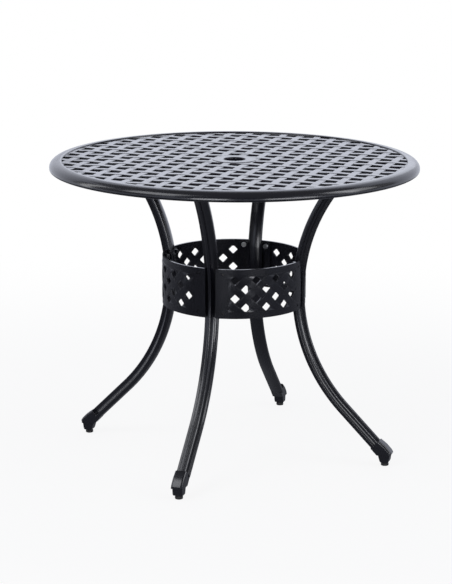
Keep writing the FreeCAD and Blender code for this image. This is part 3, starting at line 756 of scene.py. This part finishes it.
def leg_mesh(name, leg, degrees):
    """Sweeps the section up to the top plate and down to the shoe."""
    profile = leg_profile(leg)
    waist, height = leg.waist_radius, leg.waist_height
    top = LEG_HIGH[2]
    rings = []
    for i in range(UPPER_STEPS, -1, -1):
        ring = []
        for out, across in profile:
            bend = leg.upper_bend - out
            turn = math.asin((top - height) / bend) * i / UPPER_STEPS
            away = waist + leg.upper_bend - bend * math.cos(turn)
            ring.append((away, across, height + bend * math.sin(turn)))
        rings.append(ring)
    for i in range(1, LOWER_STEPS + 1):
        turn = leg.slope * i / LOWER_STEPS
        rings.append([
            (waist + leg.lower_bend - (leg.lower_bend - out) * math.cos(turn), across,
             height - (leg.lower_bend - out) * math.sin(turn)) for out, across in profile])
    drop = height - leg.lower_bend * math.sin(leg.slope) - leg.end_height
    run = drop / math.cos(leg.slope) + OVERLAP
    way = Vector((math.sin(leg.slope), 0, -math.cos(leg.slope)))
    last = [Vector(point) for point in rings[-1]]
    for i in range(1, END_STEPS + 1):
        rings.append([tuple(point + way * run * i / END_STEPS) for point in last])
    mesh = skinned(name, rings)
    mesh.transform(Matrix.Rotation(math.radians(degrees), 4, "Z"))
    return crisp(mesh, 40)


class TABLE_OT_legs(bpy.types.Operator):
    """Four S-curved legs of a flange with an outer rib"""

    bl_idname = "woven_table.legs"
    bl_label = "Legs"

    def execute(self, context):
        leg = settings().leg
        for name, degrees in LEGS.items():
            mesh = leg_mesh("cast_leg_" + name, leg, degrees)
            finished("cast_leg_" + name, mesh, HOME, "powder_coat", "leg_" + name)
        return {"FINISHED"}


def prism(points, half):
    """A polygon in the XZ plane made solid across Y."""
    return skinned("prism", [[(x, across, z) for x, z in points] for across in (-half, half)])


def pillow(points, half, soft, first):
    """A prism across Y whose corners from the given one on draw in at its sides."""
    sharpest = 0.5

    def layer(across, inset):
        ring = []
        for i, (x, z) in enumerate(points):
            here = Vector((x, z))
            before = here - Vector(points[i - 1])
            after = Vector(points[(i + 1) % len(points)]) - here
            if i == len(points) - 1:
                here += after.normalized() * inset
            elif i >= first:
                normal = (before.normalized() + after.normalized()).orthogonal().normalized()
                mitre = normal.dot(after.normalized().orthogonal())
                here += normal * inset / max(sharpest, mitre)
            ring.append((here.x, across, here.y))
        return ring

    turns = [math.radians(90 * i / 5) for i in range(6)]
    steps = [(half - soft + soft * math.sin(t), soft * (1 - math.cos(t))) for t in turns]
    layers = [layer(-across, inset) for across, inset in reversed(steps)]
    layers += [layer(across, inset) for across, inset in steps]
    return skinned("pillow", layers)


def shoe_mesh(leg, shoe):
    """Cap with a bevelled toe over a narrower stem, at the right leg."""
    axis = (GLIDE_LOW[0] + GLIDE_HIGH[0]) / 2
    end = (axis - shoe.end, leg.end_height)
    half, low, under = leg.depth / 2, SHOE_LOW[2], shoe.toe_height - shoe.skirt
    across, up = math.cos(leg.slope), math.sin(leg.slope)
    toe, heel = axis + shoe.toe, axis - shoe.heel
    front = toe - shoe.skirt / 2
    cap = [
        (end[0] - half * across, end[1] - half * up), (heel, under), (front, under),
        (toe, shoe.toe_height), (toe - shoe.bevel_run, shoe.toe_height + shoe.bevel_rise),
        (axis + shoe.brow, shoe.brow_height), (end[0] + half * across, end[1] + half * up),
    ]
    back, fore = heel + shoe.heel_taper, front - shoe.toe_taper
    stem = [
        (heel + shoe.tuck, shoe.toe_height), (back, low + shoe.chamfer), (back + shoe.inset, low),
        (fore - shoe.inset, low), (fore, low + shoe.chamfer), (front - shoe.tuck, shoe.toe_height),
    ]
    cap_mesh = bevelled(pillow(cap, SHOE_HIGH[1], shoe.round, 3), shoe.cap_edge, 3, 20)
    stem_mesh = bevelled(prism(stem, shoe.stem / 2), shoe.stem_edge, 4, 20)
    return joined("shoe", [cap_mesh, stem_mesh])


class TABLE_OT_shoes(bpy.types.Operator):
    """Cast shoes at the legs' ends"""

    bl_idname = "woven_table.shoes"
    bl_label = "Shoes"

    def execute(self, context):
        pattern = shoe_mesh(settings().leg, settings().shoe)
        for name, degrees in LEGS.items():
            mesh = faceted(turned_copy(pattern, degrees))
            finished("cast_shoe_" + name, mesh, HOME, "powder_coat", "shoe_" + name)
        return {"FINISHED"}


def ring_rows(ring):
    """Diagonal straps of one panel, both ways, that cross between the openings."""
    wide, tall = ring.radius * ring.column, ring.row
    step, slope = math.hypot(wide, tall), math.atan2(tall, wide)
    # In steps: how far straps run past the field before it cuts them, and the shortest strap.
    above, beside, shortest = 0.7, 0.5, 0.5
    low, high = (ring.field_low - ring.middle) / tall - above, (ring.field_high - ring.middle) / tall + above
    reach = ring.columns + beside
    rows = []
    for side, shift in ((1, 0.5), (-1, 1.5)):
        for number in range(-3, 4):
            crossing = shift + 2 * number
            ends = sorted((side * (low + side * crossing), side * (high + side * crossing)))
            first, last = max(-reach, ends[0]), min(reach, ends[1])
            if last - first < shortest:
                continue
            middle = (first + last) / 2
            place = (middle * wide, ring.middle + side * (middle - crossing) * tall, 0)
            rows.append((place, (last - first) / 2 * step, middle * step, side, side * slope))
    return rows


class TABLE_OT_ring(bpy.types.Operator):
    """Woven relief on the ring's four panels"""

    bl_idname = "woven_table.ring"
    bl_label = "Lattice ring"

    def execute(self, context):
        ring = settings().ring
        wide, tall = ring.radius * ring.column, ring.row
        spacing = 2 * tall * math.cos(math.atan2(tall, wide))
        relief = woven("ring_relief", ring_rows(ring), {
            "Width": spacing - ring.opening - ring.inset, "Thickness": ring.strap, "Edge": ring.strap_edge,
            "Step": math.hypot(wide, tall), "Rise": ring.weave, "Bend radius": ring.radius,
            "Reach": UNLIMITED, "Half length": ring.columns * wide,
            "Low": ring.field_low, "High": ring.field_high, "Stations": RING_STATIONS,
        })
        lift = ring.relief - ring.weave - ring.strap / 2
        for name, degrees in LEGS.items():
            mesh = turned_copy(relief, degrees + 45)
            for vertex in mesh.vertices:
                out = Vector((vertex.co.x, vertex.co.y, 0)).normalized() * lift
                vertex.co += out
            finished("ring_relief_" + name, faceted(mesh, 50), HOME, "powder_coat")
        return {"FINISHED"}


def glide_profile(glide, radius, low, high):
    """Pad, neck and the stud's seat, all round."""
    soft, shoulder = glide.soft, glide.shoulder
    neck, foot = radius - glide.neck_step, glide.neck_foot
    points = [(0, low), (radius / 2, low)]
    points += arc((radius - soft, low + soft), (soft, soft), -90, 0, 5)
    points += arc((radius - soft, shoulder - soft), (soft, soft), 0, 90, 5)
    points += [(neck + foot * 2 / 3, shoulder), (neck, shoulder + foot), (neck, high),
               (glide.bore, high), (glide.bore, glide.seat), (0, glide.seat)]
    return points


class TABLE_OT_glides(bpy.types.Operator):
    """Round glides that screw out of the shoes"""

    bl_idname = "woven_table.glides"
    bl_label = "Glides"

    def execute(self, context):
        for name in LEGS:
            low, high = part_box("glide_pad_" + name)
            centre = ((low[0] + high[0]) / 2, (low[1] + high[1]) / 2)
            profile = glide_profile(settings().glide, (high[0] - low[0]) / 2, low[2], high[2])
            mesh = crisp(lathe("glide_" + name, profile, GLIDE_STEPS, centre), 40)
            finished("glide_" + name, mesh, "foot_" + name, "nylon", "glide_pad_" + name)
        return {"FINISHED"}


class TABLE_OT_hardware(bpy.types.Operator):
    """Finishes for the construction's own plates, brackets and fasteners"""

    bl_idname = "woven_table.hardware"
    bl_label = "Hardware"

    def execute(self, context):
        slots = {row["node"]: row["material_slot"] for row in frame["record"]["subparts"]}
        for name, node in frame["nodes"].items():
            node.data.materials.clear()
            node.data.materials.append(material(slots[name]))
        return {"FINISHED"}


def lamp(name, place, watts, size, tint):
    """A soft lamp that faces the table."""
    light = bpy.data.lights.new(name, "AREA")
    light.energy, light.size, light.color = watts, size, tint
    lamp_object = placed(name, light)
    lamp_object.location = place
    lamp_object.rotation_euler = (Vector(LAMP_TARGET) - place).to_track_quat("-Z", "Y").to_euler()


def camera(stage):
    """The photograph's viewpoint: distance, height, pitch, yaw and roll."""
    turn = Matrix.Rotation(stage.camera_turn, 3, "Z")
    place = turn @ Vector((0, -stage.camera_distance, stage.camera_height))
    yaw, pitch, roll = stage.camera_yaw, stage.camera_pitch, stage.camera_roll
    level = Vector((-math.sin(yaw), math.cos(yaw), 0))
    right = Vector((math.cos(yaw), math.sin(yaw), 0))
    ahead = level * math.cos(pitch) - Vector((0, 0, math.sin(pitch)))
    up = right.cross(ahead)
    across = right * math.cos(roll) + up * math.sin(roll)
    above = up * math.cos(roll) - right * math.sin(roll)
    axes = Matrix((turn @ across, turn @ above, turn @ -ahead)).transposed()
    data = bpy.data.cameras.new("camera")
    data.lens, data.sensor_width, data.sensor_fit = stage.focal, SENSOR_WIDTH, "AUTO"
    data.clip_end = FARTHEST
    view = placed("camera", data)
    view.matrix_world = Matrix.Translation(place) @ axes.to_4x4()
    bpy.context.scene.camera = view


def seen_and_shade(graph):
    """Whether a ray is the camera's, whether it sees the surroundings white, and their colour."""
    path = graph.add("ShaderNodeLightPath")
    by_camera = Wire(graph, path.outputs["Is Camera Ray"])
    seen = graph.math("MAXIMUM", by_camera, Wire(graph, path.outputs["Is Glossy Ray"]))
    seen = graph.math("MAXIMUM", seen, Wire(graph, path.outputs["Is Transmission Ray"]))
    return by_camera, seen, blend_colours(graph, by_camera, settings().stage.daylight, (1, 1, 1))


def rectangle(name, wide, tall):
    """A flat rectangle that faces upwards."""
    x, y = wide / 2, tall / 2
    return mesh_from(name, [(-x, -y, 0), (x, -y, 0), (x, y, 0), (-x, y, 0)], [(0, 1, 2, 3)])


def floor(stage):
    """A floor that looks white and keeps the table's shadow; gloss sees painted shade on it near the table.
    """
    mesh = rectangle("floor", FLOOR_SIZE, FLOOR_SIZE)
    ground = placed("floor", mesh)
    made, graph = new_material("floor")
    plain = graph.node("ShaderNodeBsdfDiffuse", None, {"Color": (*stage.floor, 1)})
    by_camera, seen, shade = seen_and_shade(graph)
    place = graph.node("ShaderNodeTexCoord", output="Object")
    distance = graph.node("ShaderNodeVectorMath", {"operation": "LENGTH"}, {0: place}, output=1)

    def beyond(start, end):
        return graph.node("ShaderNodeMapRange", {"interpolation_type": "SMOOTHSTEP"},
                          {"Value": distance, "From Min": start, "From Max": end})

    shaded_gloss, white = stage.floor_gloss_shade, stage.floor_white
    # Painted shade: gloss sees the floor near the table dimmed, brightening to white farther out
    glow = graph.math("MAXIMUM", by_camera, shaded_gloss + (1 - shaded_gloss) * beyond(*GLOSS_SHADE_FADE))
    bright = graph.node("ShaderNodeEmission", None, {"Color": shade, "Strength": glow})
    whiteness = seen * (white + (1 - white) * beyond(*SHADOW_FADE))
    mixed = graph.node("ShaderNodeMixShader", None, {"Fac": whiteness, 1: plain, 2: bright})
    graph.add("ShaderNodeOutputMaterial", None, {"Surface": mixed})
    mesh.materials.append(made)


def world(stage):
    """White for the camera and gloss, dimmer for the light that falls on the table."""
    sky = bpy.data.worlds.new("studio")
    bpy.context.scene.world = sky
    sky.use_nodes = True
    sky.node_tree.nodes.clear()
    graph = Graph(sky.node_tree)
    seen, shade = seen_and_shade(graph)[1:]
    strength = graph.math("MAXIMUM", seen, stage.sky)
    light = graph.node("ShaderNodeBackground", None, {"Color": shade, "Strength": strength})
    graph.add("ShaderNodeOutputWorld", None, {"Surface": light})


def card(name, centre, facing, wide, tall, shade):
    """A card that only the table's gloss sees, as a studio flag or strip."""
    mesh = rectangle(name, wide, tall)
    flag = placed(name, mesh)
    made, graph = new_material(name)
    glow = graph.node("ShaderNodeEmission", None, {"Color": (1, 1, 1, 1), "Strength": shade})
    graph.add("ShaderNodeOutputMaterial", None, {"Surface": glow})
    mesh.materials.append(made)
    turn = (facing - centre).to_track_quat("Z", "Y")
    mesh.transform(Matrix.Translation(centre) @ turn.to_matrix().to_4x4())
    flag.visible_camera = flag.visible_diffuse = flag.visible_shadow = False
    flag.visible_transmission = flag.visible_volume_scatter = False


def low_box(degrees):
    """Middle of a box that stands before the table, turned from the camera."""
    around = math.radians(degrees)
    return (BOX_DISTANCE * math.sin(around), -BOX_DISTANCE * math.cos(around), BOX_HEIGHT)


FLOOR_SIZE = 80
SENSOR_WIDTH = 36  # in millimetres, as the focal length
FARTHEST = 100  # how far the camera sees
BOX_DISTANCE, BOX_HEIGHT = 4.6, 0.62
LAMP_TARGET, BOX_TARGET = (0, 0, 0.45), (0, 0, 0.69)
# Distances from the table's axis over which the floor turns white: to gloss as its painted shade fades, and
# to the camera over its real shadow.
GLOSS_SHADE_FADE, SHADOW_FADE = (2, 4), (0.7, 2.2)
# Cards as seen from the camera: place, what it faces, width and height in metres, and strength.
CARDS = (
    ("ceiling", (0, -1.6, 3.4), (0, -1.6, 0), 7, 6.4, 0.21),
    ("near_floor", (0, -2.0, 0.004), (0, -2.0, 1), 6, 2.4, 0.06),
    ("near_wall", (0, -5.2, 1.9), (0, 0, 1.2), 7, 3.4, 0.08),
    ("left_box", low_box(-14), BOX_TARGET, 1.6, 1.2, 7),
    ("right_box", low_box(33), BOX_TARGET, 2.4, 1.2, 6),
    ("left_wall", (-4.2, -0.8, 2.4), (0, 0, 0.8), 6, 3.6, 0.25),
    ("right_wall", (4.2, -0.8, 2.4), (0, 0, 0.8), 6, 3.6, 0.25),
    ("left_strip", (-3.0, 0.3, 1.5), (0, 0, 0.6), 0.5, 2.6, 3.5),
    ("right_strip", (2.8, -0.9, 1.9), (0, 0, 0.5), 0.5, 2.6, 3.5),
)
# Lamps as seen from the camera: place, size and tint.
LAMPS = (
    ("key", (-1.9, -1.4, 2.6), 1.6, (1, 1, 1)),
    ("fill", (2.3, -0.6, 1.8), 1.4, (1, 1, 1)),
    ("back", (0.3, 2.6, 2.0), 2.0, (0.86, 0.90, 1)),
)


class TABLE_OT_stage(bpy.types.Operator):
    """Floor, soft lamps, white surroundings and the camera"""

    bl_idname = "woven_table.stage"
    bl_label = "Stage"

    def execute(self, context):
        stage = settings().stage
        floor(stage)
        world(stage)
        turn = Matrix.Rotation(stage.camera_turn, 3, "Z")
        for name, place, target, wide, tall, strength in CARDS:
            card(name, turn @ Vector(place), turn @ Vector(target), wide, tall, strength)
        for name, place, size, tint in LAMPS:
            lamp(name, turn @ Vector(place), getattr(stage, "lamp_" + name), size, tint)
        camera(stage)
        context.scene.view_settings.view_transform = "Standard"
        return {"FINISHED"}


STEPS = (TABLE_OT_hardware, TABLE_OT_top, TABLE_OT_legs, TABLE_OT_shoes, TABLE_OT_ring,
         TABLE_OT_glides, TABLE_OT_stage)


class TABLE_PT_panel(bpy.types.Panel):
    """Lists the steps in order"""

    bl_idname = "TABLE_PT_panel"
    bl_label = "Woven Cast Table"
    bl_space_type = "VIEW_3D"
    bl_region_type = "UI"
    bl_category = "Table"

    def draw(self, context):
        for step in STEPS:
            self.layout.operator(step.bl_idname)


CLASSES = (TopSizes, LegSizes, ShoeSizes, RingSizes, GlideSizes, Finishes, StageSettings, TableSettings,
           *STEPS, TABLE_PT_panel)


def register():
    for item in CLASSES:
        bpy.utils.register_class(item)
    bpy.types.Scene.woven_table = PointerProperty(type=TableSettings)


def unregister():
    del bpy.types.Scene.woven_table
    for item in reversed(CLASSES):
        bpy.utils.unregister_class(item)


def main():
    """Registers the settings and runs the steps."""
    register()
    for step in STEPS:
        group, name = step.bl_idname.split(".")
        getattr(getattr(bpy.ops, group), name)()


if __name__ == "__main__":
    main()
